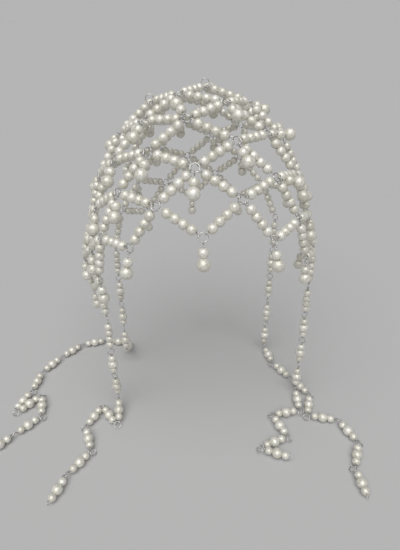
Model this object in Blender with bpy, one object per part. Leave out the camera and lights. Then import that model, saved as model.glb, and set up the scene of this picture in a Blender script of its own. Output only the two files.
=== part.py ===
"""Pearl net headpiece for a bride, as it hangs on a head: a net of beaded bars on the bias, drops and four strands.

The origin is the top of the head, where the cap sits; +Z is up and the face looks towards -Y.
Sizes in this file are in millimetres; objects are made in metres.
"""
import math

import bpy
from mathutils import Vector

MM = 0.001

# Beads and wire.
SMALL = 6.0  # diameter of the pearls of the bars
LARGE = 8.0  # diameter of the pearl at the end of a drop and in the middle of a link
RING_RADIUS = 2.9  # jump ring, to the middle of its wire
RING_WALL = 1.0  # side of the ring's square section
EYE = 2.0  # from a pearl's end to the middle of the eye loop beside it
NECK = 0.55  # half width of the wire where it leaves a pearl
WAIST = 1.1  # half width where two pearls touch
FULLNESS = 0.84  # half width of a pearl's square section, over its radius
DROP_FULLNESS = 0.72  # and of a drop's, whose neighbours are nearer
GAP = 0.3  # clearance between solids that touch
CAP_SCALE = 0.6  # of a bar's end where it meets a ring of another solid

# The surface that the pearls' centres lie on: a head's upper half, and a wall below that leans in.
HALF_WIDTH = 85.8
HALF_DEPTH = 104.4
RISE = 117.5
CENTRE_Z = -113.9
TUCK = 0.12  # how much narrower the wall is 100 below the widest level

# The middle row of jump rings, from the front rim over the head: number, step from the last one, sideways place.
# Rows past the rims only carry the net's rule on.
FRONT_RIM = (2, 27.0, 2.0)  # number, angle over the head in degrees, sideways place
MIDDLE_FORWARD = ((3, 52.5, 5.0), (4, 64.0, 7.0), (5, 66.0, 7.0))
MIDDLE_BACK = (
    (1, 41.0, -3.0),
    (0, 36.5, -8.0),
    (-1, 35.0, -14.0),
    (-2, 53.0, -18.0),
    (-3, 42.0, -16.0),
    (-4, 42.0, -12.0),
    (-5, 44.0, -8.0),
    (-6, 48.0, -6.0),
    (-7, 60.0, -4.0),
)
# From ring to ring along a bar, column by column from the middle row out to the side. The first number is the bar
# that comes from the back, the second the one that comes from the front.
REACH_LEFT = ((32.0, 34.0), (32.0, 34.0), (34.5, 33.5), (34.5, 33.0), (35.0, 34.0), (35.0, 34.0))
REACH_RIGHT = ((34.0, 33.0), (34.0, 32.5), (34.5, 33.0), (34.5, 33.0), (35.0, 34.5), (35.0, 34.5))
# The front corners hang from one ring each. The loose rings beside them stand off the surface, by this level.
REACH_CORNER = {(5, -1): (34.5, 28.0), (-1, 5): (34.5, 26.0)}
STAND_OFF = {(3, -2): 0.2, (4, -2): 0.25, (-1, 4): 0.1, (-1, 5): 0.2, (-2, 4): 0.1}

# The net's outline, in rows (i + j, 4 at the front rim) and columns (i - j, positive to the wearer's right).
FRONT_ROW = 4
BACK_ROW = -10
FRONT_COLUMN = 6
BACK_COLUMN = 4
FRONT_EDGE = -2  # the front panel's lowest i or j
BACK_EDGE = -1  # the back panel's highest i or j
ARCH_EDGE = -4  # and its lowest beside the ears, above ARCH_ROW
ARCH_ROW = -8

# Drops.
NO_DROP_ROWS = (3, -9)  # the rows next to the rims
NO_DROP = ((-1, -1), (5, -1), (-1, 5), (-3, -7), (-7, -3))  # the crown ring and the four that carry strands
# Degrees from straight down the slope, for the drops that lie over to a side.
DROP_TURN = {(0, 0): -130.0, (-1, -2): -60.0, (0, 2): 60.0, (-1, 1): 60.0, (-2, 1): 100.0}
DROP_STEM = 1.3  # how much further from its ring than a bar's
DROP_CLEARANCE = 0.2  # from a drop's pearls to any other
DROP_LIFTS = tuple(range(0, 75, 3))  # degrees off the net, the least that clears its neighbours
DROP_SWINGS = tuple(sorted(range(-56, 57, 7), key=abs))  # degrees to a side, when that needs less lift
DROP_SLIDE = 1.5  # how far its eye slides round the ring, over the swing
DROP_LEAN = 0.7  # how far the drop itself leans, over the swing
DROP_APART = 24.0  # degrees round the ring, at least, from a drop's eye to a bar's

# Strands: the ring that each hangs from and its pieces, as kind, heading and dip in degrees.
# Heading 0 is +X and 90 is +Y, dip 90 is straight down, and LAND is the dip that ends at the floor.
FLOOR = -274.5
LAND = None
FLAT = 40.0  # a link that dips less than this counts as lying
STRANDS = {
    "left_front": ((5, -1), (
        ("bar", -100, 88), ("link", 90, 85), ("link", 90, 80), ("link", -82, LAND),
        ("link", 125, 0), ("link", -112, 0), ("link", -68, 0), ("link", -122, 0), ("link", -108, 0),
    )),
    "right_front": ((-1, 5), (
        ("bar", 70, 78), ("link", 50, 86), ("link", 90, 88), ("link", 60, LAND),
        ("link", -92, 0), ("link", -168, 0), ("link", -68, 0), ("link", -156, 0), ("link", -20, 0),
    )),
    "left_back": ((-3, -7), (
        ("bar", 90, 90), ("link", 90, 90), ("link", 90, 90), ("link", 90, 90), ("link", 92, LAND),
        ("link", 170, 0), ("link", -164, 0), ("link", -130, 0), ("link", -120, 0), ("link", -94, 0),
        ("link", -108, 0), ("link", 55, 0), ("link", -75, 0), ("link", -130, 0), ("link", -129, 0),
    )),
    "right_back": ((-7, -3), (
        ("bar", -80, 90), ("link", -80, 90), ("link", -80, 90), ("link", -80, 90), ("link", -80, LAND),
        ("link", -78, 0), ("link", -57, 0), ("link", -58, 0), ("link", -105, 0),
        ("link", -12, 0), ("link", -66, 0), ("link", -112, 0), ("link", -86, 0),
    )),
}
LINKS_PER_SOLID = 2  # of the stretch that lies
SLACK_STRAIGHT = 3.2  # between two eyes on one ring where the strand lies straight
SLACK_LEAST = 1.8  # and where it bends; a sharper fold has what its small pearls need
RING_DROOP = 35.0  # degrees that a lying strand's rings dip towards the floor

PEARL_COLOUR = (0.83, 0.80, 0.72, 1.0)
PEARL_ROUGHNESS = 0.28


def level(point):
    """Under 0 inside the surface of the pearls' centres, over 0 outside."""
    height = point.z - CENTRE_Z
    k = 1 + TUCK * min(height, 0.0) / 100
    across = (point.x / (HALF_WIDTH * k)) ** 2 + (point.y / (HALF_DEPTH * k)) ** 2
    return across + (max(height, 0.0) / RISE) ** 2 - 1


def outward(point):
    """The surface's normal, from small steps."""
    step = 0.05
    slope = []
    for axis in range(3):
        side = Vector((0, 0, 0))
        side[axis] = step
        slope.append(level(point + side) - level(point - side))
    return Vector(slope).normalized()


def root(function, low, high):
    """Where a rising function crosses 0."""
    for _ in range(50):
        middle = (low + high) / 2
        if function(middle) > 0:
            high = middle
        else:
            low = middle
    return (low + high) / 2


def over_head(angle, sideways):
    """The surface's point at this angle from the front over the head, and this far sideways."""
    def at(radius):
        return Vector((sideways, -radius * math.cos(angle), CENTRE_Z + radius * math.sin(angle)))
    return at(root(lambda radius: level(at(radius)), 0.0, 400.0))


def middle_row():
    number, start, sideways = FRONT_RIM
    start = math.radians(start)
    rings = {(number, number): over_head(start, sideways)}
    for rows, sense in ((MIDDLE_FORWARD, -1), (MIDDLE_BACK, 1)):
        angle = start
        last = rings[(number, number)]
        for row, step, across in rows:
            turn = root(lambda t: (over_head(angle + sense * t, across) - last).length - step, 0.0, 0.9)
            angle += sense * turn
            last = over_head(angle, across)
            rings[(row, row)] = last
    return rings


def meeting(first, second, reach_first, reach_second, outside, stand):
    """The surface's point at these distances from two rings, on the side that outside points to."""
    along = second - first
    span = along.length
    along.normalize()
    foot = (reach_first**2 - reach_second**2 + span**2) / (2 * span)
    height = math.sqrt(max(reach_first**2 - foot**2, 4.0))
    base = first + foot * along
    away = (outside - outside.dot(along) * along).normalized()
    up = along.cross(away)
    if up.dot(outward(base)) < 0:
        up = -up

    def at(turn):
        return base + height * (math.cos(turn) * away + math.sin(turn) * up)
    return at(root(lambda turn: level(at(turn)) - stand, -1.5, 1.4))


def all_rings():
    """Every ring's centre, by its two numbers, those past the rims too."""
    rings = middle_row()
    numbers = sorted(i for i, _ in rings)
    for column in range(1, FRONT_COLUMN + 1):
        for low in numbers:
            for left in (True, False):
                if low + column > numbers[-1]:
                    continue
                ring = (low + column, low) if left else (low, low + column)
                i, j = ring
                first = (i - 1, j) if left else (i, j - 1)
                second = (i, j + 1) if left else (i + 1, j)
                inner = (i - 1, j + 1) if left else (i + 1, j - 1)
                reach = REACH_CORNER.get(ring) or (REACH_LEFT if left else REACH_RIGHT)[column - 1]
                outside = Vector((-1.0 if left else 1.0, 0, 0))
                if inner in rings:
                    outside = (rings[first] + rings[second]) / 2 - rings[inner]
                stand = STAND_OFF.get(ring, 0.0)
                rings[ring] = meeting(rings[first], rings[second], *reach, outside, stand)
    return rings


def in_net(ring):
    """Whether the net has this ring."""
    i, j = ring
    row, column = i + j, abs(i - j)
    if not BACK_ROW <= row <= FRONT_ROW or column > FRONT_COLUMN or (row % 2 and column == FRONT_COLUMN):
        return False
    if min(i, j) >= FRONT_EDGE:
        return True
    if row > ARCH_ROW and min(i, j) < ARCH_EDGE:
        return False
    return max(i, j) <= BACK_EDGE and column <= BACK_COLUMN


def neighbours(ring, rings):
    i, j = ring
    return [near for near in ((i + 1, j), (i, j + 1), (i - 1, j), (i, j - 1)) if near in rings]


def star_of(ring, rings):
    """The four-armed star, named by its middle ring, whose solid holds this ring."""
    i, j = ring
    if (i + j) % 2:
        return ring
    for near in ((i - 1, j), (i, j - 1), (i + 1, j), (i, j + 1)):
        if near in rings:
            return near
    return None


def pearls_of_bar(start, end):
    """Centres and radii of a bar's four pearls."""
    along = (end - start).normalized()
    middle = (start + end) / 2
    return [(middle + k * SMALL * along, SMALL / 2) for k in (-1.5, -0.5, 0.5, 1.5)]


def pearls_of_drop(eye, heading):
    small = eye + (EYE + SMALL / 2 + DROP_STEM) * heading
    return [(small, SMALL / 2), (small + (SMALL + LARGE) / 2 * heading, LARGE / 2)]


def down_the_slope(normal):
    """Straight down along the surface, and forwards where it is level."""
    down = Vector((0, 0, -1))
    slope = down - down.dot(normal) * normal
    if slope.length < 0.05:
        slope = Vector((0, -1, 0)) + normal.y * normal
    return slope.normalized()


def turned(vector, axis, degrees):
    angle = math.radians(degrees)
    return vector * math.cos(angle) + axis.cross(vector) * math.sin(angle)


def drop_at(centre, flat, normal, swing, lift):
    angle = math.radians(lift)
    eye, heading = (
        math.cos(angle) * turned(flat, normal, share * swing) + math.sin(angle) * normal
        for share in (DROP_SLIDE, DROP_LEAN)
    )
    return centre + RING_RADIUS * eye, heading


def hang_drops(rings, bars):
    """Where each drop's eye is on its ring, and the drop's heading: down the slope, and off it or to a side
    by the least that clears its neighbours."""
    taken = [pearl for start, end in bars for pearl in pearls_of_bar(rings[start], rings[end])]
    tries = sorted((lift + abs(swing) / 2, lift, swing) for lift in DROP_LIFTS for swing in DROP_SWINGS)
    drops = {}
    for ring, centre in rings.items():
        if sum(ring) in NO_DROP_ROWS or ring in NO_DROP:
            continue
        normal = outward(centre)
        flat = turned(down_the_slope(normal), normal, DROP_TURN.get(ring, 0.0))
        near = [(c, r) for c, r in taken if (c - centre).length < 45]
        ways = [rings[other] - centre for other in neighbours(ring, rings)]
        for _, lift, swing in tries:
            eye, heading = drop_at(centre, flat, normal, swing, lift)
            if any((eye - centre).angle(way) < math.radians(DROP_APART) for way in ways):
                continue
            beads = pearls_of_drop(eye, heading)
            if all((a - c).length > ra + r + DROP_CLEARANCE for a, ra in beads for c, r in near):
                break
        drops[ring] = (eye, heading)
        taken += beads
    return drops


class Solid:
    """The corners and faces of one closed body."""

    def __init__(self):
        self.corners = []
        self.faces = []

    def add(self, points):
        first = len(self.corners)
        self.corners += points
        return list(range(first, first + len(points)))

    def join(self, start, end):
        """A sleeve between two loops that both run anticlockwise about the way ahead."""
        count = len(start)

        def stretch(shift):
            return sum(
                (self.corners[start[k]] - self.corners[end[(k + shift) % count]]).length_squared
                for k in range(count)
            )
        shift = min(range(count), key=stretch)
        end = [end[(k + shift) % count] for k in range(count)]
        for k in range(count):
            n = (k + 1) % count
            self.faces.append((start[k], start[n], end[n], end[k]))

    def section(self, centre, along, up, half):
        """A square loop of this half width, anticlockwise about along."""
        high = (up - up.dot(along) * along).normalized()
        wide = high.cross(along)
        signs = ((1, 1), (-1, 1), (-1, -1), (1, -1))
        return self.add([centre + half * (a * wide + b * high) for a, b in signs])

    def beads(self, start, sections, up):
        """A sleeve from the loop start through (centre, direction, half width) rows; returns the last loop."""
        last = start
        for centre, along, half in sections:
            loop = self.section(centre, along, up, half)
            self.join(last, loop)
            last = loop
        return last


def face_angles(angles):
    """Corner angles of a ring's polygon, with one face for each attachment and plain ones between."""
    angles = sorted(a % 360 for a in angles)
    corners = []
    for k, angle in enumerate(angles):
        gap = (angles[(k + 1) % len(angles)] - angle) % 360 or 360.0
        if gap <= 105:
            corners.append(angle + gap / 2)
            continue
        side = 30.0
        plain = max(1, round((gap - 2 * side) / 62))
        corners += [angle + side + n * (gap - 2 * side) / plain for n in range(plain + 1)]
    return corners


class Ring:
    """A jump ring as a polygon of square wire, with a face towards each thing on it."""

    def __init__(self, centre, normal, directions):
        self.centre = centre
        self.normal = normal.normalized()
        first = next(iter(directions.values()))
        self.u = (first - first.dot(self.normal) * self.normal).normalized()
        self.v = self.normal.cross(self.u)
        self.angles = {key: self.angle(way) for key, way in directions.items()}
        self.corner_angles = face_angles(list(self.angles.values()))

    def angle(self, way):
        return math.degrees(math.atan2(way.dot(self.v), way.dot(self.u))) % 360

    def at(self, degrees, radius, height):
        angle = math.radians(degrees)
        return self.centre + radius * (math.cos(angle) * self.u + math.sin(angle) * self.v) + height * self.normal

    def face_of(self, key):
        """The number of the face towards this attachment."""
        angle = self.angles[key]
        count = len(self.corner_angles)
        for k in range(count):
            span = (self.corner_angles[(k + 1) % count] - self.corner_angles[k]) % 360
            if (angle - self.corner_angles[k]) % 360 < span:
                return k
        raise ValueError(key)

    def quad(self, face):
        """The outer corners of a face, anticlockwise about the way out."""
        half = RING_WALL / 2
        radius = RING_RADIUS + half
        low = self.corner_angles[face]
        high = self.corner_angles[(face + 1) % len(self.corner_angles)]
        return [self.at(low, radius, -half), self.at(high, radius, -half),
                self.at(high, radius, half), self.at(low, radius, half)]

    def stub(self, key):
        """The end of a bar that stops short of this ring, as corners anticlockwise about the way out."""
        quad = self.quad(self.face_of(key))
        middle = sum(quad, Vector()) / 4
        away = (quad[1] - quad[0]).cross(quad[2] - quad[1]).normalized()
        return [middle + CAP_SCALE * (corner - middle) + GAP * away for corner in quad]

    def build(self, solid, open_keys):
        """Adds the ring to a solid, and returns the open loop for each of these attachments."""
        half = RING_WALL / 2
        rims = []
        for radius, height in ((1, -1), (1, 1), (-1, 1), (-1, -1)):
            rims.append(solid.add([
                self.at(angle, RING_RADIUS + radius * half, height * half) for angle in self.corner_angles
            ]))
        open_faces = {self.face_of(key): key for key in open_keys}
        loops = {}
        count = len(self.corner_angles)
        for k in range(count):
            n = (k + 1) % count
            for side in range(4):
                a, b = rims[side], rims[(side + 1) % 4]
                face = (a[k], a[n], b[n], b[k])
                if side == 0 and k in open_faces:
                    loops[open_faces[k]] = list(face)
                else:
                    solid.faces.append(face)
        return loops


def bar_sections(start, end, radii):
    """Rows for the pearls of these radii, laid end to end in the middle of a bar."""
    along = (end - start).normalized()
    length = 2 * sum(radii)
    place = -length / 2
    middle = (start + end) / 2
    rows = [(middle + place * along, along, NECK)]
    for k, radius in enumerate(radii):
        rows.append((middle + (place + radius) * along, along, FULLNESS * radius))
        place += 2 * radius
        rows.append((middle + place * along, along, NECK if k == len(radii) - 1 else WAIST))
    return rows


def lay_bar(solid, near, near_loop, far, far_loop, near_stub, far_stub, radii, up):
    """A string of pearls between two rings; a loop is a ring's open face, a stub the end short of another ring."""
    if near_loop is None:
        near_loop = solid.add(near_stub)
        solid.faces.append(tuple(reversed(near_loop)))
    last = solid.beads(near_loop, bar_sections(near, far, radii), up)
    if far_loop is None:
        far_loop = solid.add(far_stub)
        solid.faces.append(tuple(reversed(far_loop)))
    solid.join(last, list(reversed(far_loop)))


def lay_drop(solid, loop, eye, heading, up):
    """A small and a large pearl on one wire, closed under the large one."""
    (small, r_small), (large, r_large) = pearls_of_drop(eye, heading)
    rows = [
        (small - r_small * heading, heading, NECK),
        (small, heading, DROP_FULLNESS * r_small),
        (small + r_small * heading, heading, WAIST),
        (large, heading, DROP_FULLNESS * r_large),
        (large + r_large * heading, heading, WAIST),
    ]
    solid.faces.append(tuple(solid.beads(loop, rows, up)))


def strand_places(start, pieces):
    """Where each piece's two eyes are: (kind, first eye, last eye, lies flat), and each ring: (centre, normal)."""
    rest = FLOOR + LARGE / 2
    placed = []
    joints = []
    ring = start
    for number, (kind, heading, dip) in enumerate(pieces):
        length = (4 * SMALL if kind == "bar" else 2 * SMALL + LARGE) + 2 * EYE
        turn = math.radians(heading)
        flat = Vector((math.cos(turn), math.sin(turn), 0))
        if dip is LAND:
            fall = (ring.z - rest) / (length + 2 * RING_RADIUS)
            dip = math.degrees(math.asin(min(fall, 1.0)))
        way = math.cos(math.radians(dip)) * flat + Vector((0, 0, -math.sin(math.radians(dip))))
        lies = dip < FLAT
        if lies and placed and placed[-1][3]:
            _, _, last_eye, _, last_way = placed[-1]
            bend = math.atan2(last_way.cross(way).z, last_way.dot(way))
            across = turned(last_way, Vector((0, 0, 1)), math.degrees(bend / 2))
            closing = math.cos(bend / 2)
            apart = SMALL + GAP - (2 * EYE + SMALL) * closing
            spread = max(SLACK_STRAIGHT * closing**2, apart, SLACK_LEAST)
            first_eye = last_eye + spread * across
            side = turned(across, Vector((0, 0, 1)), -90 if bend >= 0 else 90)
            droop = math.radians(RING_DROOP)
            side = math.cos(droop) * side - math.sin(droop) * Vector((0, 0, 1))
            aside = math.sqrt(RING_RADIUS**2 - spread**2 / 4)
            ring = (last_eye + first_eye) / 2 + aside * side
            joints[-1] = (ring, across.cross(side).normalized())
        else:
            first_eye = ring + RING_RADIUS * way
            if placed:
                last_way = placed[-1][4]
                normal = last_way.cross(way)
                if normal.length < 0.2:
                    normal = way.cross(Vector((math.sin(number), math.cos(number), 0.1)))
                joints[-1] = (ring, normal.normalized())
        last_eye = first_eye + length * way
        placed.append((kind, first_eye, last_eye, lies, way))
        ring = last_eye + RING_RADIUS * way
        joints.append((ring, Vector((0, 0, 1))))
    return placed, joints[:-1]


def make_object(name, solid):
    mesh = bpy.data.meshes.new(name)
    mesh.from_pydata([tuple(corner * MM) for corner in solid.corners], [], solid.faces)
    mesh.validate()
    mesh.update()
    material = bpy.data.materials.new(name + "_pearl")
    material.use_nodes = True
    shader = material.node_tree.nodes["Principled BSDF"]
    shader.inputs["Base Color"].default_value = PEARL_COLOUR
    shader.inputs["Roughness"].default_value = PEARL_ROUGHNESS
    shader.inputs["Metallic"].default_value = 0.0
    mesh.materials.append(material)
    obj = bpy.data.objects.new(name, mesh)
    bpy.context.scene.collection.objects.link(obj)
    return obj


def radii_of(kind):
    if kind == "bar":
        return (SMALL / 2,) * 4
    return (SMALL / 2, LARGE / 2, SMALL / 2)


def net_layout():
    """Everything that the solids and their look are made from."""
    everywhere = all_rings()
    rings = {ring: everywhere[ring] for ring in everywhere if in_net(ring)}
    bars = [(star, near) for star in rings if sum(star) % 2 for near in neighbours(star, rings)]
    drops = hang_drops(rings, bars)
    strands = {name: strand_places(rings[ring], pieces) for name, (ring, pieces) in STRANDS.items()}
    return rings, bars, drops, strands


def net_rings(rings, bars, drops, strands):
    """The Ring of every net ring, with keys for its bars, its drop and its strand."""
    made = {}
    for ring, centre in rings.items():
        ways = {}
        for near in neighbours(ring, rings):
            ways[near] = rings[near] - centre
        if ring in drops:
            ways["drop"] = drops[ring][0] - centre
        for name, (start, _) in STRANDS.items():
            if start == ring:
                ways[name] = strands[name][0][0][1] - centre
        made[ring] = Ring(centre, outward(centre), ways)
    return made


def star_name(star):
    row = (FRONT_ROW - 1 - sum(star)) // 2 + 1
    column = (FRONT_COLUMN - 1 - (star[0] - star[1])) // 2 + 1
    return f"net_row{row}_star{column}"


def build_net(rings, bars, drops, strands):
    hubs = net_rings(rings, bars, drops, strands)
    stars = {}
    for ring in rings:
        stars.setdefault(star_of(ring, rings), []).append(ring)
    for star, members in sorted(stars.items(), reverse=True):
        solid = Solid()
        loops = {}
        for ring in members:
            keys = [near for near in neighbours(ring, rings) if star in (ring, near)]
            if ring in drops:
                keys.append("drop")
            loops[ring] = hubs[ring].build(solid, keys)
            if ring in drops:
                lay_drop(solid, loops[ring]["drop"], *drops[ring], hubs[ring].normal)
        for near in neighbours(star, rings):
            up = hubs[star].normal + hubs[near].normal
            far_loop = loops[near][star] if near in loops else None
            lay_bar(solid, rings[star], loops[star][near], rings[near], far_loop,
                    None, hubs[near].stub(star), radii_of("bar"), up)
        make_object(star_name(star), solid)
    return hubs


def build_strand(name, hub, placed, joints):
    """The solids of one strand: the stretch that hangs, then the one that lies, a few links each."""
    hubs = []
    for k, (centre, normal) in enumerate(joints):
        ways = {"before": placed[k][2] - centre, "after": placed[k + 1][1] - centre}
        hubs.append(Ring(centre, normal, ways))
    groups = [[k for k, row in enumerate(placed) if not row[3]]]
    lying = [k for k, row in enumerate(placed) if row[3]]
    groups += [lying[k:k + LINKS_PER_SOLID] for k in range(0, len(lying), LINKS_PER_SOLID)]
    for number, group in enumerate(groups):
        solid = Solid()
        loops = {}
        for k in group:
            if k < len(hubs):
                keys = ["before"] + (["after"] if k + 1 in group else [])
                loops[k] = hubs[k].build(solid, keys)
        for k in group:
            kind, first, last, lies, way = placed[k]
            up = joints[min(k, len(joints) - 1)][1] if lies else Vector((0.3, 1, 0.1))
            near_loop = loops[k - 1]["after"] if k - 1 in loops else None
            near_stub = None
            if near_loop is None:
                near_stub = hub.stub(name) if k == 0 else hubs[k - 1].stub("after")
            if k in loops:
                lay_bar(solid, first, near_loop, last, loops[k]["before"], near_stub, None, radii_of(kind), up)
            else:
                lay_end(solid, first, near_loop, near_stub, last, radii_of(kind), up)
        label = "hanging" if number == 0 else f"lying{number}"
        make_object(f"strand_{name}_{label}", solid)


def lay_end(solid, first, near_loop, near_stub, last, radii, up):
    """The last link of a strand, which ends in its own eye loop with nothing on it."""
    if near_loop is None:
        near_loop = solid.add(near_stub)
        solid.faces.append(tuple(reversed(near_loop)))
    way = (last - first).normalized()
    loop = solid.beads(near_loop, bar_sections(first, last, radii), up)
    rows = [(last, way, 1.3), (last + EYE * way, way, 0.6)]
    solid.faces.append(tuple(solid.beads(loop, rows, up)))


def main():
    for obj in list(bpy.data.objects):
        bpy.data.objects.remove(obj, do_unlink=True)
    rings, bars, drops, strands = net_layout()
    hubs = build_net(rings, bars, drops, strands)
    for name, (placed, joints) in strands.items():
        build_strand(name, hubs[STRANDS[name][0]], placed, joints)


main()
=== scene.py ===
"""The look of a pearl net headpiece: round pearls on eye pins, jump rings, drops and strands.

The net's rule and the strands' routes are the same as in the part's source. Sizes are in millimetres until
a mesh is made.
"""

import math
import random

import bpy
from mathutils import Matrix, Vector


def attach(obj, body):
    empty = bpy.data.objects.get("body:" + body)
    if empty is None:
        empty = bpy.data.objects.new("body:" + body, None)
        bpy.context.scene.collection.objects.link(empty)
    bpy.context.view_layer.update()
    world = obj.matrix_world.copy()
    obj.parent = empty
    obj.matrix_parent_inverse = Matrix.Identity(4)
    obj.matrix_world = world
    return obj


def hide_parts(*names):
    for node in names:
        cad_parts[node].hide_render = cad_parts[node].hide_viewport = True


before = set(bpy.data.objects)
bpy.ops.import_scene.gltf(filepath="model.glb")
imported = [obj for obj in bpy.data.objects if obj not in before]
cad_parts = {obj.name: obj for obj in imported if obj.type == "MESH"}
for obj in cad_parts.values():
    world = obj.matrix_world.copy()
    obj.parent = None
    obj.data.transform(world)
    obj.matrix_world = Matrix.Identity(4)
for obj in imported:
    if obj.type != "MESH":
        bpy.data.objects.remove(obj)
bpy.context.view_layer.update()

MM = 0.001

# When two directions, or the surface and the level, count as the same, and how places are searched.
NEARLY_PARALLEL = 0.2  # sine of the angle between the directions
NEARLY_LEVEL = 0.05  # sine of the surface's slope
STEEP = 0.8  # how much of a direction may be vertical while it is squared with the vertical
HALVINGS = 50  # of a search's range
FARTHEST = 400.0  # how far from the head's middle its surface is looked for
WIDEST_STEP = 0.9  # radians over the head that one step can take
TURNS = (-1.5, 1.4)  # radians off the net that a ring is looked for
LEAST_ASIDE = 2.0  # how far a ring is, at least, from the line through the two that it hangs from

# Pearls.
SMALL = 6.0  # diameter of the pearls of the bars
LARGE = 8.0  # diameter of the pearl at the end of a drop and in the middle of a link
PEARL_FULL = 0.3  # how much fuller a pearl is than half its spacing: flat ends touch the next one
PEARL_SEAM = 0.01  # between a flat end and the middle of the seam
PEARL_UNEVEN = 0.012  # how much a pearl's size varies
HOLE = 0.55  # radius of a pearl's drill hole
HOLE_PROFILE = ((0.86, 0.35), (1.0, 0.03))  # radius over HOLE, depth under the flat end
FLAT_EDGE = 0.12  # how far the round rim of a flat end comes in
SMALL_FACES = (18, 11)  # around a small pearl and from end to end
LARGE_FACES = (20, 12)  # and on a large one

# Wire.
RING_RADIUS = 2.9  # jump ring, to the middle of its wire
RING_WIRE = 0.34  # radius of the jump rings' wire
RING_FACES = (22, 7)  # along a jump ring's wire and around it
RING_CUT = 2.4  # degrees of a jump ring that the fine gap in it takes
PIN_WIRE = 0.27  # radius of the eye pins' wire
PIN_FACES = 6  # around it
PIN_INSIDE = 1.2  # how far a pin is made inside its pearl
PIN_HEAD = 0.5  # radius of the pin's head under a drop
PIN_HEAD_FACES = 8
PIN_HEAD_ENDS = (1.0, 0.02)  # how far inside the pearl that head begins and ends
EYE = 2.0  # from a pearl's end to the wire that its eye loop holds
EYE_WIDE = 1.22  # half width of an eye loop, to the middle of its wire
EYE_LONG = 1.4  # and its half length, at most
EYE_PEAR = (0.86, 0.20)  # its width over EYE_WIDE in the middle, and how much that changes towards an end
EYE_STEM = 0.25  # of straight pin, at least, between it and the pearl
EYE_LAP = 0.05  # how far the pin runs into it
EYE_ARC = (186.0, 348.0)  # degrees that it starts at and turns through
EYE_STEPS = 16
DROP_EYE_LONG = 1.05  # half length on a drop, whose pin shows more of its straight part
RING_TILT = (2.7, 9.0)  # degrees that a jump ring of the net leans
STANDING = ((-2, -1), (-1, -2))  # but these stand up out of the net and face the front
STANDING_RISE = 2.4  # how far the middle of such a ring is off the net
STANDING_STEP = 22.0  # degrees along its foot from one eye to the next
EYE_TWIST = (25.0, 66.0)  # degrees that an eye loop of a bar or link has turned about its pin
DROP_EYE_TWIST = (0.0, 18.0)  # and of a drop

# The surface that the pearls' centres lie on: a head's upper half, and a wall below that leans in.
HALF_WIDTH = 85.8
HALF_DEPTH = 104.4
RISE = 117.5
CENTRE_Z = -113.9
TUCK = 0.12

# The middle row of jump rings: number, step from the last one, sideways place.
FRONT_RIM = (2, 27.0, 2.0)  # number, angle over the head in degrees, sideways place
MIDDLE_FORWARD = ((3, 52.5, 5.0), (4, 64.0, 7.0), (5, 66.0, 7.0))
MIDDLE_BACK = (
    (1, 41.0, -3.0),
    (0, 36.5, -8.0),
    (-1, 35.0, -14.0),
    (-2, 53.0, -18.0),
    (-3, 42.0, -16.0),
    (-4, 42.0, -12.0),
    (-5, 44.0, -8.0),
    (-6, 48.0, -6.0),
    (-7, 60.0, -4.0),
)
# From ring to ring along a bar, column by column from the middle row out to the side.
REACH_LEFT = ((32.0, 34.0), (32.0, 34.0), (34.5, 33.5), (34.5, 33.0), (35.0, 34.0), (35.0, 34.0))
REACH_RIGHT = ((34.0, 33.0), (34.0, 32.5), (34.5, 33.0), (34.5, 33.0), (35.0, 34.5), (35.0, 34.5))
# The front corners hang from one ring each, and some loose rings stand off the surface.
REACH_CORNER = {(5, -1): (34.5, 28.0), (-1, 5): (34.5, 26.0)}
STAND_OFF = {(3, -2): 0.2, (4, -2): 0.25, (-1, 4): 0.1, (-1, 5): 0.2, (-2, 4): 0.1}

# The net's outline, in rows and columns.
FRONT_ROW = 4
BACK_ROW = -10
FRONT_COLUMN = 6
BACK_COLUMN = 4
FRONT_EDGE = -2
BACK_EDGE = -1
ARCH_EDGE = -4
ARCH_ROW = -8

# Drops.
NO_DROP_ROWS = (3, -9)
NO_DROP = ((-1, -1), (5, -1), (-1, 5), (-3, -7), (-7, -3))
DROP_TURN = {(0, 0): -130.0, (-1, -2): -60.0, (0, 2): 60.0, (-1, 1): 60.0, (-2, 1): 100.0}
DROP_STEM = 1.3  # how much further from its ring than a bar's
DROP_CLEARANCE = 0.2  # from a drop's pearls to any other
DROP_NEAR = 45.0  # how far off another pearl can be in its way
DROP_LIFTS = tuple(range(0, 75, 3))  # degrees off the net
DROP_SWINGS = tuple(sorted(range(-56, 57, 7), key=abs))  # degrees to a side
DROP_SLIDE = 1.5  # how far its eye slides round the ring, over the swing
DROP_LEAN = 0.7  # how far the drop itself leans, over the swing
DROP_APART = 24.0  # degrees round the ring, at least, from a drop's eye to a bar's

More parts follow.
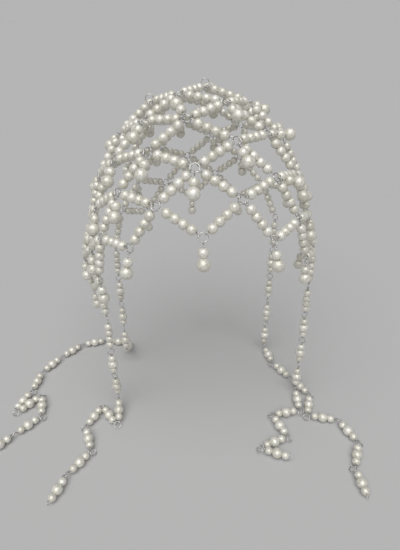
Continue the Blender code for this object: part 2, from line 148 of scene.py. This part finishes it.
# Strands: the ring that each hangs from and its pieces, as kind, heading and dip in degrees.
FLOOR = -274.5
LAND = None  # the dip that ends at the floor
FLAT = 40.0  # a link that dips less than this counts as lying
STRANDS = {
    "left_front": ((5, -1), (
        ("bar", -100, 88), ("link", 90, 85), ("link", 90, 80), ("link", -82, LAND),
        ("link", 125, 0), ("link", -112, 0), ("link", -68, 0), ("link", -122, 0), ("link", -108, 0),
    )),
    "right_front": ((-1, 5), (
        ("bar", 70, 78), ("link", 50, 86), ("link", 90, 88), ("link", 60, LAND),
        ("link", -92, 0), ("link", -168, 0), ("link", -68, 0), ("link", -156, 0), ("link", -20, 0),
    )),
    "left_back": ((-3, -7), (
        ("bar", 90, 90), ("link", 90, 90), ("link", 90, 90), ("link", 90, 90), ("link", 92, LAND),
        ("link", 170, 0), ("link", -164, 0), ("link", -130, 0), ("link", -120, 0), ("link", -94, 0),
        ("link", -108, 0), ("link", 55, 0), ("link", -75, 0), ("link", -130, 0), ("link", -129, 0),
    )),
    "right_back": ((-7, -3), (
        ("bar", -80, 90), ("link", -80, 90), ("link", -80, 90), ("link", -80, 90), ("link", -80, LAND),
        ("link", -78, 0), ("link", -57, 0), ("link", -58, 0), ("link", -105, 0),
        ("link", -12, 0), ("link", -66, 0), ("link", -112, 0), ("link", -86, 0),
    )),
}
LAST_NORMAL = (0.2, 0.1, 1.0)  # what the bare eye at a strand's end turns about
LINKS_PER_SOLID = 2  # of the stretch that lies
SLACK_STRAIGHT = 3.2  # between two eyes on one ring where the strand lies straight
SLACK_LEAST = 1.8  # and where it bends; a sharper fold has what its small pearls need
RING_DROOP = 35.0  # degrees that a lying strand's rings dip towards the floor
GAP = 0.3
SEED = 11

# Camera, floor and lights, in metres and degrees.
CAMERA_PLACE = (0.0001, -0.3304, 0.0452)
CAMERA_PITCH = 60.0
CAMERA_LENS = 29.23  # millimetres
CAMERA_SENSOR = 36.0  # millimetres wide
FLOOR_HALF = 40.0
FLOOR_GAP = 0.0001  # under the table's height in the CAD
FLOOR_TONE = 0.49
KEY_PLACE = (-0.10, -0.50, 0.90)  # the direction that the main light comes from
KEY_POWER = 2.5
KEY_SOFTNESS = 60.0
DOME_LOW = 0.46  # the surroundings' light at the horizon, as bright as the lit floor
DOME_HIGH = 0.20  # and overhead


def level(point):
    """Under 0 inside the surface of the pearls' centres, over 0 outside."""
    height = point.z - CENTRE_Z
    k = 1 + TUCK * min(height, 0.0) / 100
    across = (point.x / (HALF_WIDTH * k)) ** 2 + (point.y / (HALF_DEPTH * k)) ** 2
    return across + (max(height, 0.0) / RISE) ** 2 - 1


def outward(point):
    """The surface's normal, from small steps."""
    step = 0.05
    slope = []
    for axis in range(3):
        side = Vector((0, 0, 0))
        side[axis] = step
        slope.append(level(point + side) - level(point - side))
    return Vector(slope).normalized()


def root(function, low, high):
    """Where a rising function crosses 0."""
    for _ in range(HALVINGS):
        middle = (low + high) / 2
        if function(middle) > 0:
            high = middle
        else:
            low = middle
    return (low + high) / 2


def over_head(angle, sideways):
    """The surface's point at this angle from the front over the head, and this far sideways."""
    def at(radius):
        return Vector((sideways, -radius * math.cos(angle), CENTRE_Z + radius * math.sin(angle)))
    return at(root(lambda radius: level(at(radius)), 0.0, FARTHEST))


def middle_row():
    number, start, sideways = FRONT_RIM
    start = math.radians(start)
    rings = {(number, number): over_head(start, sideways)}
    for rows, sense in ((MIDDLE_FORWARD, -1), (MIDDLE_BACK, 1)):
        angle = start
        last = rings[(number, number)]
        for row, step, across in rows:
            def past(turn):
                return (over_head(angle + sense * turn, across) - last).length - step
            angle += sense * root(past, 0.0, WIDEST_STEP)
            last = over_head(angle, across)
            rings[(row, row)] = last
    return rings


def meeting(first, second, reach_first, reach_second, outside, stand):
    """The point at these distances from two rings, on the outside, that stands off the surface by stand."""
    along = second - first
    span = along.length
    along.normalize()
    foot = (reach_first**2 - reach_second**2 + span**2) / (2 * span)
    height = math.sqrt(max(reach_first**2 - foot**2, LEAST_ASIDE**2))
    base = first + foot * along
    away = (outside - outside.dot(along) * along).normalized()
    up = along.cross(away)
    if up.dot(outward(base)) < 0:
        up = -up

    def at(turn):
        return base + height * (math.cos(turn) * away + math.sin(turn) * up)
    return at(root(lambda turn: level(at(turn)) - stand, *TURNS))


def all_rings():
    """Every ring's centre, by its two numbers, those past the rims too."""
    rings = middle_row()
    numbers = sorted(i for i, _ in rings)
    for column in range(1, FRONT_COLUMN + 1):
        for low in numbers:
            for left in (True, False):
                if low + column > numbers[-1]:
                    continue
                ring = (low + column, low) if left else (low, low + column)
                i, j = ring
                first = (i - 1, j) if left else (i, j - 1)
                second = (i, j + 1) if left else (i + 1, j)
                inner = (i - 1, j + 1) if left else (i + 1, j - 1)
                reach = REACH_CORNER.get(ring) or (REACH_LEFT if left else REACH_RIGHT)[column - 1]
                outside = Vector((-1.0 if left else 1.0, 0, 0))
                if inner in rings:
                    outside = (rings[first] + rings[second]) / 2 - rings[inner]
                stand = STAND_OFF.get(ring, 0.0)
                rings[ring] = meeting(rings[first], rings[second], *reach, outside, stand)
    return rings


def in_net(ring):
    """Whether the net has this ring."""
    i, j = ring
    row, column = i + j, abs(i - j)
    if not BACK_ROW <= row <= FRONT_ROW:
        return False
    if column > FRONT_COLUMN or (row % 2 and column == FRONT_COLUMN):
        return False
    if min(i, j) >= FRONT_EDGE:
        return True
    if row > ARCH_ROW and min(i, j) < ARCH_EDGE:
        return False
    return max(i, j) <= BACK_EDGE and column <= BACK_COLUMN


def neighbours(ring, rings):
    i, j = ring
    return [near for near in ((i + 1, j), (i, j + 1), (i - 1, j), (i, j - 1)) if near in rings]


def star_of(ring, rings):
    """The four-armed star, named by its middle ring, whose node holds this ring."""
    i, j = ring
    if (i + j) % 2:
        return ring
    for near in ((i - 1, j), (i, j - 1), (i + 1, j), (i, j + 1)):
        if near in rings:
            return near
    return None


def star_name(star):
    row = (FRONT_ROW - 1 - sum(star)) // 2 + 1
    column = (FRONT_COLUMN - 1 - (star[0] - star[1])) // 2 + 1
    return f"net_row{row}_star{column}"


def turned(vector, axis, degrees):
    angle = math.radians(degrees)
    return vector * math.cos(angle) + axis.cross(vector) * math.sin(angle)


def down_the_slope(normal):
    """Straight down along the surface, and forwards where it is level."""
    down = Vector((0, 0, -1))
    slope = down - down.dot(normal) * normal
    if slope.length < NEARLY_LEVEL:
        slope = Vector((0, -1, 0)) + normal.y * normal
    return slope.normalized()


def pearls_of_bar(start, end):
    """Centres and radii of a bar's four pearls."""
    along = (end - start).normalized()
    middle = (start + end) / 2
    return [(middle + k * SMALL * along, SMALL / 2) for k in (-1.5, -0.5, 0.5, 1.5)]


def pearls_of_drop(eye, heading):
    small = eye + (EYE + SMALL / 2 + DROP_STEM) * heading
    return [(small, SMALL / 2), (small + (SMALL + LARGE) / 2 * heading, LARGE / 2)]


def drop_at(centre, flat, normal, swing, lift):
    angle = math.radians(lift)
    eye, heading = (
        math.cos(angle) * turned(flat, normal, share * swing) + math.sin(angle) * normal
        for share in (DROP_SLIDE, DROP_LEAN)
    )
    return centre + RING_RADIUS * eye, heading


def hang_drops(rings, bars):
    """Where each drop's eye is on its ring, and the drop's heading, clear of its neighbours."""
    taken = [pearl for start, end in bars for pearl in pearls_of_bar(rings[start], rings[end])]
    tries = sorted((lift + abs(swing) / 2, lift, swing) for lift in DROP_LIFTS for swing in DROP_SWINGS)
    drops = {}
    for ring, centre in rings.items():
        if sum(ring) in NO_DROP_ROWS or ring in NO_DROP:
            continue
        normal = outward(centre)
        flat = turned(down_the_slope(normal), normal, DROP_TURN.get(ring, 0.0))
        near = [(c, r) for c, r in taken if (c - centre).length < DROP_NEAR]
        ways = [rings[other] - centre for other in neighbours(ring, rings)]
        for _, lift, swing in tries:
            eye, heading = drop_at(centre, flat, normal, swing, lift)
            if any((eye - centre).angle(way) < math.radians(DROP_APART) for way in ways):
                continue
            beads = pearls_of_drop(eye, heading)
            if all((a - c).length > ra + r + DROP_CLEARANCE for a, ra in beads for c, r in near):
                break
        drops[ring] = (eye, heading)
        taken += beads
    return drops


def strand_places(start, pieces):
    """Each piece's (kind, first eye, last eye, lies flat, way), and each ring's (centre, normal)."""
    rest = FLOOR + LARGE / 2
    placed = []
    joints = []
    ring = start
    for number, (kind, heading, dip) in enumerate(pieces):
        length = (4 * SMALL if kind == "bar" else 2 * SMALL + LARGE) + 2 * EYE
        turn = math.radians(heading)
        flat = Vector((math.cos(turn), math.sin(turn), 0))
        if dip is LAND:
            fall = (ring.z - rest) / (length + 2 * RING_RADIUS)
            dip = math.degrees(math.asin(min(fall, 1.0)))
        way = math.cos(math.radians(dip)) * flat + Vector((0, 0, -math.sin(math.radians(dip))))
        lies = dip < FLAT
        if lies and placed and placed[-1][3]:
            _, _, last_eye, _, last_way = placed[-1]
            bend = math.atan2(last_way.cross(way).z, last_way.dot(way))
            across = turned(last_way, Vector((0, 0, 1)), math.degrees(bend / 2))
            closing = math.cos(bend / 2)
            apart = SMALL + GAP - (2 * EYE + SMALL) * closing
            spread = max(SLACK_STRAIGHT * closing**2, apart, SLACK_LEAST)
            first_eye = last_eye + spread * across
            side = turned(across, Vector((0, 0, 1)), -90 if bend >= 0 else 90)
            droop = math.radians(RING_DROOP)
            side = math.cos(droop) * side - math.sin(droop) * Vector((0, 0, 1))
            aside = math.sqrt(RING_RADIUS**2 - spread**2 / 4)
            ring = (last_eye + first_eye) / 2 + aside * side
            joints[-1] = (ring, across.cross(side).normalized())
        else:
            first_eye = ring + RING_RADIUS * way
            if placed:
                last_way = placed[-1][4]
                normal = last_way.cross(way)
                if normal.length < NEARLY_PARALLEL:  # in one line, so the ring faces any way
                    normal = way.cross(Vector((math.sin(number), math.cos(number), 0.1)))
                joints[-1] = (ring, normal.normalized())
        last_eye = first_eye + length * way
        placed.append((kind, first_eye, last_eye, lies, way))
        ring = last_eye + RING_RADIUS * way
        joints.append((ring, Vector((0, 0, 1))))
    return placed, joints[:-1]


class Skin:
    """One mesh in the making: corners, faces and a tone for each face."""

    def __init__(self):
        self.corners = []
        self.faces = []
        self.tones = []

    def sweep(self, loops, tone=0.5):
        """A closed tube through loops of points, each with the same count."""
        base = len(self.corners)
        before = len(self.faces)
        count = len(loops[0])
        for loop in loops:
            self.corners += loop
        last = base + (len(loops) - 1) * count
        for a in range(base, last, count):
            b = a + count
            for k in range(count):
                n = (k + 1) % count
                self.faces.append((a + k, a + n, b + n, b + k))
        self.faces.append(tuple(base + k for k in reversed(range(count))))
        self.faces.append(tuple(last + k for k in range(count)))
        self.tones += [tone] * (len(self.faces) - before)


def square_pair(way):
    """Two directions square to this one, the three right-handed."""
    other = Vector((0, 0, 1)) if abs(way.z) < STEEP else Vector((1, 0, 0))
    u = other.cross(way).normalized()
    return u, way.cross(u)


def circle(centre, u, v, radius, count, start=0.0):
    """The corners of a round loop, from u towards v."""
    turns = (start + math.tau * k / count for k in range(count))
    return [centre + radius * (math.cos(t) * u + math.sin(t) * v) for t in turns]


def add_pearl(skin, centre, way, radius, dice):
    """A drilled pearl, very slightly uneven, with its hole along way and a small flat round each end."""
    sides, bands = LARGE_FACES if radius > SMALL / 2 else SMALL_FACES
    u, v = square_pair(way)
    spin = dice.random() * math.tau
    full = (radius + PEARL_FULL) * (1 + dice.uniform(-PEARL_UNEVEN, PEARL_UNEVEN))
    tall = radius - PEARL_SEAM
    start = math.acos(tall / full)
    profile = [(HOLE * wide, depth - tall) for wide, depth in HOLE_PROFILE]
    profile.append((full * math.sin(start) - FLAT_EDGE, -tall))
    half = len(profile)
    for k in range(bands + 1):
        angle = start + (math.pi - 2 * start) * k / bands
        profile.append((full * math.sin(angle), -full * math.cos(angle)))
    profile += [(out, -along) for out, along in reversed(profile[:half])]
    loops = [circle(centre + along * way, u, v, out, sides, spin) for out, along in profile]
    skin.sweep(loops, dice.random())


def add_rod(skin, start, end, wire, around):
    u, v = square_pair((end - start).normalized())
    skin.sweep([circle(place, u, v, wire, around) for place in (start, end)])


def add_eye(skin, bead_end, hook, tangent, dice, longest=EYE_LONG, twist=EYE_TWIST):
    """A pin's eye loop, pear-shaped, about the wire at hook, and the stem between it and the pearl."""
    way = (hook - bead_end).normalized()
    tangent = (tangent - tangent.dot(way) * way).normalized()
    tangent = turned(tangent, way, dice.choice((-1, 1)) * dice.uniform(*twist))
    side = tangent.cross(way)
    reach = (hook - bead_end).length + PIN_WIRE + RING_WIRE
    half = min(longest, (reach - EYE_STEM) / 2)
    middle = bead_end + (reach - half) * way
    add_rod(skin, bead_end - PIN_INSIDE * way, middle - (half - EYE_LAP) * way, PIN_WIRE, PIN_FACES)
    loops = []
    first, turn = EYE_ARC
    for k in range(EYE_STEPS + 1):
        angle = math.radians(first + turn * k / EYE_STEPS)
        wide = EYE_WIDE * (EYE_PEAR[0] + EYE_PEAR[1] * math.cos(angle))
        place = middle + half * math.cos(angle) * way + wide * math.sin(angle) * side
        out = (math.cos(angle) * way / half + math.sin(angle) * side / EYE_WIDE).normalized()
        loops.append(circle(place, out, tangent, PIN_WIRE, PIN_FACES))
    skin.sweep(loops)


def lean(normal, dice):
    """The normal of a jump ring that leans a little."""
    u, v = square_pair(normal)
    angle = dice.random() * math.tau
    axis = math.cos(angle) * u + math.sin(angle) * v
    return turned(normal, axis, dice.uniform(*RING_TILT))


def add_jump_ring(skin, centre, normal, dice):
    """A jump ring with the fine gap where it was closed."""
    u, v = square_pair(normal)
    spin = dice.random() * math.tau
    steps, around = RING_FACES
    loops = []
    for k in range(steps + 1):
        angle = spin + math.radians(RING_CUT / 2 + (360 - RING_CUT) * k / steps)
        out = math.cos(angle) * u + math.sin(angle) * v
        loops.append(circle(centre + RING_RADIUS * out, out, normal, RING_WIRE, around))
    skin.sweep(loops)


def make_piece(name, skin, material, node):
    """A visible piece that shows in place of this node."""
    mesh = bpy.data.meshes.new(name)
    mesh.from_pydata([tuple(corner * MM) for corner in skin.corners], [], skin.faces)
    mesh.update()
    mesh.polygons.foreach_set("use_smooth", [True] * len(mesh.polygons))
    tone = mesh.attributes.new("tone", "FLOAT", "FACE")
    tone.data.foreach_set("value", skin.tones)
    mesh.materials.append(material)
    piece = bpy.data.objects.new(name, mesh)
    bpy.context.scene.collection.objects.link(piece)
    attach(piece, "root")
    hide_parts(node)


def material_nodes(name):
    material = bpy.data.materials.new(name)
    material.use_nodes = True
    nodes = material.node_tree.nodes
    links = material.node_tree.links
    return material, nodes, links, nodes["Principled BSDF"]


def add_noise(nodes, links, scale, detail):
    """Noise that stays with the piece."""
    place = nodes.new("ShaderNodeTexCoord")
    noise = nodes.new("ShaderNodeTexNoise")
    noise.inputs["Scale"].default_value = scale
    noise.inputs["Detail"].default_value = detail
    links.new(place.outputs["Object"], noise.inputs["Vector"])
    return noise.outputs["Fac"]


def add_ramp(nodes, links, factor, stops):
    """Colours that follow a factor: stops are positions and colours."""
    node = nodes.new("ShaderNodeValToRGB")
    while len(node.color_ramp.elements) < len(stops):
        node.color_ramp.elements.new(0.5)
    for element, (position, colour) in zip(node.color_ramp.elements, stops):
        element.position = position
        element.color = (*colour, 1)
    links.new(factor, node.inputs["Fac"])
    return node.outputs["Color"]


def add_roughness(nodes, links, factor, shader, factors, values):
    """Roughness that goes between two values while a factor goes between two others."""
    node = nodes.new("ShaderNodeMapRange")
    node.inputs["From Min"].default_value, node.inputs["From Max"].default_value = factors
    node.inputs["To Min"].default_value, node.inputs["To Max"].default_value = values
    links.new(factor, node.inputs["Value"])
    links.new(node.outputs["Result"], shader.inputs["Roughness"])


def pearl_material():
    """Imitation pearl: an ivory ball under a glossy coat, its lustre broken up by fine flakes."""
    material, nodes, links, shader = material_nodes("imitation_pearl")
    tone = nodes.new("ShaderNodeAttribute")
    tone.attribute_name = "tone"

    def multiply(first, second):
        node = nodes.new("ShaderNodeMix")
        node.data_type = "RGBA"
        node.blend_type = "MULTIPLY"
        node.inputs["Factor"].default_value = 1.0
        links.new(first, node.inputs["A"])
        links.new(second, node.inputs["B"])
        return node.outputs["Result"]

    clouds = add_noise(nodes, links, 420.0, 2.0)
    flakes = add_noise(nodes, links, 760.0, 3.0)
    white = (1.0, 1.0, 1.0)
    body = add_ramp(nodes, links, tone.outputs["Fac"], (
        (0.0, (0.77, 0.75, 0.685)), (0.5, (0.83, 0.815, 0.755)), (1.0, (0.89, 0.88, 0.83)),
    ))
    body = multiply(body, add_ramp(nodes, links, clouds, ((0.35, (0.92, 0.91, 0.875)), (0.65, white))))
    body = multiply(body, add_ramp(nodes, links, flakes, ((0.38, (0.80, 0.79, 0.75)), (0.60, white))))
    links.new(body, shader.inputs["Base Color"])
    add_roughness(nodes, links, flakes, shader, (0.35, 0.65), (0.33, 0.50))
    pits = nodes.new("ShaderNodeBump")
    pits.inputs["Strength"].default_value = 0.75
    pits.inputs["Distance"].default_value = 0.00036
    links.new(flakes, pits.inputs["Height"])
    links.new(pits.outputs["Normal"], shader.inputs["Normal"])
    shader.inputs["IOR"].default_value = 1.7
    shader.inputs["Metallic"].default_value = 0.25
    shader.inputs["Coat Weight"].default_value = 0.75
    shader.inputs["Coat Roughness"].default_value = 0.36
    shader.inputs["Coat IOR"].default_value = 1.6
    shader.inputs["Sheen Weight"].default_value = 0.12
    shader.inputs["Sheen Roughness"].default_value = 0.4
    shader.inputs["Sheen Tint"].default_value = (1.0, 0.95, 0.90, 1)
    return material


def wire_material():
    """Bright silver-plated wire with faint drawing marks."""
    material, nodes, links, shader = material_nodes("silver_wire")
    marks = add_noise(nodes, links, 900.0, 2.0)
    tones = add_ramp(nodes, links, marks, ((0.3, (0.46, 0.455, 0.44)), (0.7, (0.78, 0.77, 0.75))))
    links.new(tones, shader.inputs["Base Color"])
    add_roughness(nodes, links, marks, shader, (0.0, 1.0), (0.26, 0.42))
    shader.inputs["Metallic"].default_value = 1.0
    return material


def add_string(pearls, wires, middle, way, radii, holds, dice):
    """Pearls end to end about middle, with an eye at each end; holds says where it hangs and across what."""
    place = -sum(radii)
    for radius in radii:
        add_pearl(pearls, middle + (place + radius) * way, way, radius, dice)
        place += 2 * radius
    for sense, (hook, tangent) in zip((-1, 1), holds):
        add_eye(wires, middle + sense * sum(radii) * way, hook, tangent, dice)


def square_to(way, normal):
    """The direction square to way and nearest to lying across normal: an eye's loop turns about it."""
    side = normal.cross(way)
    if side.length < NEARLY_PARALLEL:
        side = square_pair(way)[0]
    return side.normalized()


def stand_up(ring, rings, drops):
    """The middle and normal of a ring that stands up, and where each thing hangs on its foot, across what."""
    centre = rings[ring]
    up = outward(centre)
    wide = up.cross(Vector((0, -1, 0))).normalized()
    middle = centre + STANDING_RISE * up
    ways = {near: rings[near] - centre for near in neighbours(ring, rings)}
    if ring in drops:
        ways["drop"] = drops[ring][0] - centre
    holds = {}
    for n, key in enumerate(sorted(ways, key=lambda key: ways[key].normalized().dot(wide))):
        angle = math.radians(STANDING_STEP * (n - (len(ways) - 1) / 2))
        hook = middle + RING_RADIUS * (math.sin(angle) * wide - math.cos(angle) * up)
        holds[key] = (hook, math.cos(angle) * wide + math.sin(angle) * up)
    return middle, wide.cross(up), holds


def build_net(rings, drops, skins, dice):
    hubs = {ring: lean(outward(centre), dice) for ring, centre in rings.items()}
    standing = {ring: stand_up(ring, rings, drops) for ring in STANDING}
    for ring in sorted(rings, reverse=True):
        centre = rings[ring]
        pearls, wires = skins[star_name(star_of(ring, rings))]
        if ring in standing:
            add_jump_ring(wires, *standing[ring][:2], dice)
        else:
            add_jump_ring(wires, centre, hubs[ring], dice)
        if ring in drops:
            eye, way = drops[ring]
            (small, r_small), (large, r_large) = pearls_of_drop(eye, way)
            add_pearl(pearls, small, way, r_small, dice)
            add_pearl(pearls, large, way, r_large, dice)
            hook, tangent = eye, square_to(way, hubs[ring])
            if ring in standing:
                hook, tangent = standing[ring][2]["drop"]
            add_eye(wires, small - r_small * way, hook, tangent, dice, DROP_EYE_LONG, DROP_EYE_TWIST)
            foot = large + r_large * way
            inside, outside = (foot - depth * way for depth in PIN_HEAD_ENDS)
            add_rod(wires, inside, outside, PIN_HEAD, PIN_HEAD_FACES)
        if sum(ring) % 2:
            for near in neighbours(ring, rings):
                way = (rings[near] - centre).normalized()
                middle = (rings[near] + centre) / 2
                holds = []
                for here, other, sense in ((ring, near, 1), (near, ring, -1)):
                    if here in standing:
                        holds.append(standing[here][2][other])
                    else:
                        holds.append((rings[here] + sense * RING_RADIUS * way, square_to(way, hubs[here])))
                add_string(pearls, wires, middle, way, (SMALL / 2,) * 4, holds, dice)


def build_strand(name, start, placed, joints, skins, dice):
    hanging = [k for k, row in enumerate(placed) if not row[3]]
    lying = [k for k, row in enumerate(placed) if row[3]]
    label = {k: f"strand_{name}_hanging" for k in hanging}
    for n, k in enumerate(lying):
        label[k] = f"strand_{name}_lying{n // LINKS_PER_SOLID + 1}"
    normals = [outward(start)] + [normal for _, normal in joints] + [Vector(LAST_NORMAL)]
    for k, (kind, first, last, _, way) in enumerate(placed):
        pearls, wires = skins[label[k]]
        radii = (SMALL / 2,) * 4 if kind == "bar" else (SMALL / 2, LARGE / 2, SMALL / 2)
        ends = (first, normals[k]), (last, normals[k + 1])
        holds = [(eye, square_to(way, normal)) for eye, normal in ends]
        add_string(pearls, wires, (first + last) / 2, way, radii, holds, dice)
        if k < len(joints):
            add_jump_ring(wires, *joints[k], dice)


def build_object():
    everywhere = all_rings()
    rings = {ring: everywhere[ring] for ring in everywhere if in_net(ring)}
    bars = [(star, near) for star in rings if sum(star) % 2 for near in neighbours(star, rings)]
    drops = hang_drops(rings, bars)
    dice = random.Random(SEED)
    skins = {node: (Skin(), Skin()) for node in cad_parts}
    build_net(rings, drops, skins, dice)
    for name, (ring, pieces) in STRANDS.items():
        placed, joints = strand_places(rings[ring], pieces)
        build_strand(name, rings[ring], placed, joints, skins, dice)
    pearl = pearl_material()
    wire = wire_material()
    for node, (pearls, wires) in skins.items():
        make_piece("pearls_" + node, pearls, pearl, node)
        make_piece("wire_" + node, wires, wire, node)


def add_key():
    """Light from far off, as even as a large softbox's."""
    data = bpy.data.lights.new("key", "SUN")
    data.energy = KEY_POWER
    data.angle = math.radians(KEY_SOFTNESS)
    light = bpy.data.objects.new("key", data)
    light.location = KEY_PLACE
    light.rotation_euler = (-Vector(KEY_PLACE)).to_track_quat("-Z", "Y").to_euler()
    bpy.context.scene.collection.objects.link(light)


def add_floor():
    mesh = bpy.data.meshes.new("floor")
    height = FLOOR * MM - FLOOR_GAP
    corners = [(a * FLOOR_HALF, b * FLOOR_HALF, height) for a, b in ((-1, -1), (1, -1), (1, 1), (-1, 1))]
    mesh.from_pydata(corners, [], [(0, 1, 2, 3)])
    material, _, _, shader = material_nodes("floor_paper")
    shader.inputs["Base Color"].default_value = (FLOOR_TONE, FLOOR_TONE, FLOOR_TONE, 1)
    shader.inputs["Roughness"].default_value = 0.9
    shader.inputs["Specular IOR Level"].default_value = 0.0
    mesh.materials.append(material)
    floor = bpy.data.objects.new("floor", mesh)
    bpy.context.scene.collection.objects.link(floor)


def add_dome():
    """Surroundings that are as bright as the floor at the horizon and darker overhead."""
    world = bpy.data.worlds.new("studio")
    world.use_nodes = True
    nodes = world.node_tree.nodes
    links = world.node_tree.links
    aim = nodes.new("ShaderNodeTexCoord")
    height = nodes.new("ShaderNodeSeparateXYZ")
    links.new(aim.outputs["Generated"], height.inputs["Vector"])
    stops = ((0.02, (DOME_LOW,) * 3), (0.75, (DOME_HIGH,) * 3))
    tone = add_ramp(nodes, links, height.outputs["Z"], stops)
    tone.node.color_ramp.interpolation = "EASE"
    links.new(tone, nodes["Background"].inputs["Color"])
    bpy.context.scene.world = world


def add_camera():
    """The camera, at the angle that the net is seen from."""
    data = bpy.data.cameras.new("camera")
    data.lens = CAMERA_LENS
    data.sensor_width = CAMERA_SENSOR
    data.clip_start = 0.01
    camera = bpy.data.objects.new("camera", data)
    camera.location = CAMERA_PLACE
    camera.rotation_euler = (math.radians(CAMERA_PITCH), 0, 0)
    bpy.context.scene.collection.objects.link(camera)
    bpy.context.scene.camera = camera
    bpy.context.scene.view_settings.view_transform = "Standard"


build_object()
add_floor()
add_dome()
add_key()
add_camera()
